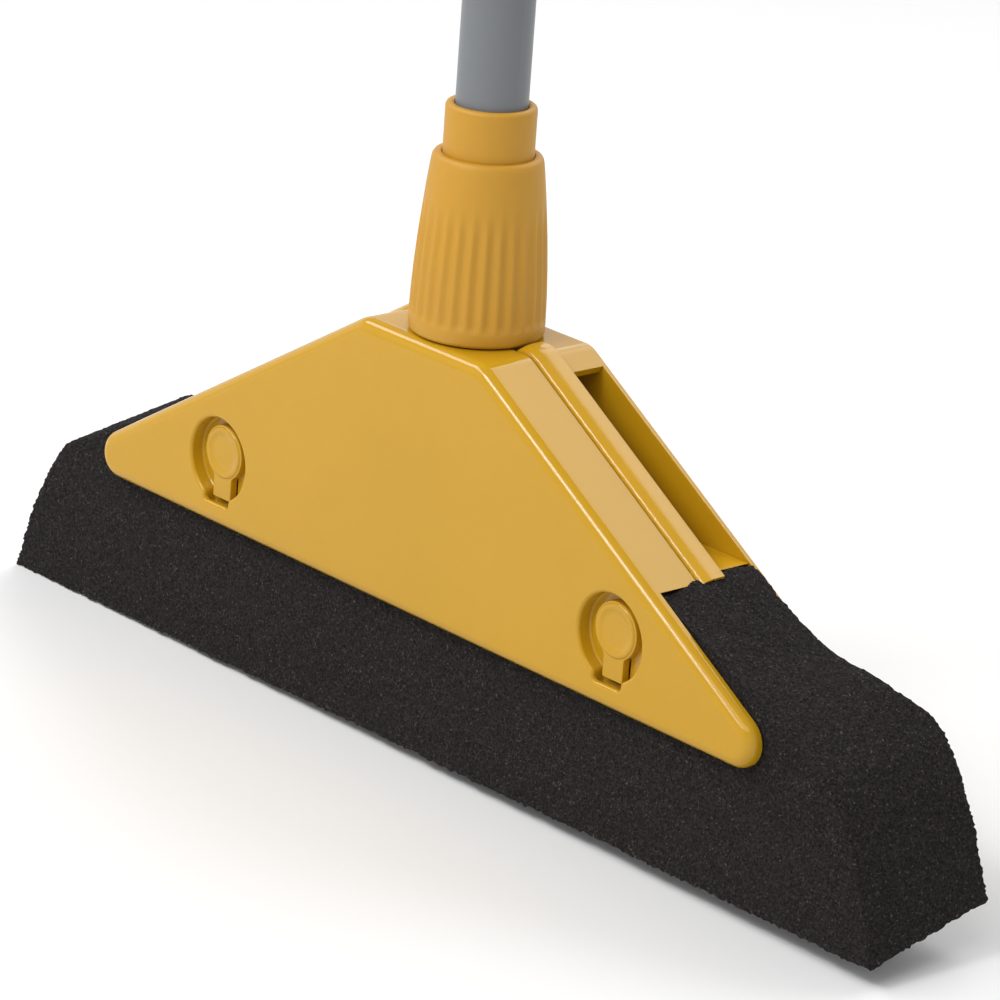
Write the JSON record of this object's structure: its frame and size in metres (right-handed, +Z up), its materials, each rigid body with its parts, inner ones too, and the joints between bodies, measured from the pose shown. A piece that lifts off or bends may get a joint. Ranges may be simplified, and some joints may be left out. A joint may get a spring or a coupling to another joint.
{
  "type": "foam grout float",
  "caption": "Long-handled foam grout float: a yellow two-shell trapezoid head with sliding catches clamps a bevelled black foam pad, and a fluted clamp nut grips a grey telescopic pole.",
  "frame": {"origin": "where the pole's axis meets the foam's working face", "axes": "+Z up the pole, X along the foam pad, -Y the front with the two catches"},
  "size_m": [0.457, 0.059, 0.8039],
  "materials": {
    "head_plastic": "glossy moulded yellow",
    "catch_plastic": "satin moulded yellow",
    "clamp_plastic": "matt moulded yellow",
    "pole_coating": "satin grey plastic coating on a metal tube",
    "dark_plastic": "matt charcoal moulding",
    "grip_rubber": "matt charcoal soft grip",
    "foam": "open-cell charcoal foam, matt",
    "screw_steel": "zinc-plated steel",
    "spring_steel": "bright spring wire"
  },
  "bodies": {
    "head": {"front_shell": "head_plastic", "centre_frame": "head_plastic", "frame_screws": "screw_steel", "pole_socket": "clamp_plastic", "socket_screws": "screw_steel"},
    "back": {"back_shell": "head_plastic", "catch_spring_left": "spring_steel", "catch_spring_right": "spring_steel"},
    "pad": {"foam_pad": "foam", "pad_board": "dark_plastic"},
    "catch_l": {"catch_left": "catch_plastic"},
    "catch_r": {"catch_right": "catch_plastic"},
    "collet": {"collet": "clamp_plastic"},
    "nut": {"clamp_nut": "clamp_plastic"},
    "pole": {"lower_tube": "pole_coating", "foot_plug": "dark_plastic", "lock_sleeve": "clamp_plastic"},
    "lock_nut": {"lock_nut": "clamp_plastic"},
    "upper": {"upper_tube": "pole_coating", "slide_bush": "dark_plastic", "hand_grip": "grip_rubber", "end_cap": "clamp_plastic"}
  },
  "joints": [
    {"name": "collet_climb", "type": "slide", "parent": "head", "child": "collet", "axis": [0, 0, 1], "range_m": [0, 0.003]},
    {"name": "nut_turn", "type": "hinge", "parent": "collet", "child": "nut", "pos_m": [0, 0, 0.1463], "axis": [0, 0, 1], "range_deg": [0, 360]},
    {"name": "pole_slide", "type": "slide", "parent": "head", "child": "pole", "axis": [0, 0, 1], "range_m": [0, 0.1]},
    {"name": "lock_nut_turn", "type": "hinge", "parent": "pole", "child": "lock_nut", "pos_m": [0, 0, 0.6263], "axis": [0, 0, 1], "range_deg": [0, 180]},
    {"name": "telescope", "type": "slide", "parent": "pole", "child": "upper", "axis": [0, 0, 1], "range_m": [0, 0.4]},
    {"name": "back_shell_off", "type": "slide", "parent": "head", "child": "back", "axis": [0, 1, 0], "range_m": [0, 0.12]},
    {"name": "pad_off", "type": "slide", "parent": "head", "child": "pad", "axis": [0, 1, 0], "range_m": [0, 0.06]},
    {"name": "catch_left_up", "type": "slide", "parent": "back", "child": "catch_l", "axis": [0, 0, 1], "range_m": [0, 0.0025], "stiffness_N_per_m": 400, "springref_m": -0.004, "deforming": ["catch_spring_left"]},
    {"name": "catch_right_up", "type": "slide", "parent": "back", "child": "catch_r", "axis": [0, 0, 1], "range_m": [0, 0.0025], "stiffness_N_per_m": 400, "springref_m": -0.004, "deforming": ["catch_spring_right"]}
  ],
  "couplings": [
    {"joint": "nut_turn", "follows": "collet_climb", "rad_per_m": 2094},
    {"joint": "pad_off", "follows": "back_shell_off", "ratio": 0.5}
  ]
}
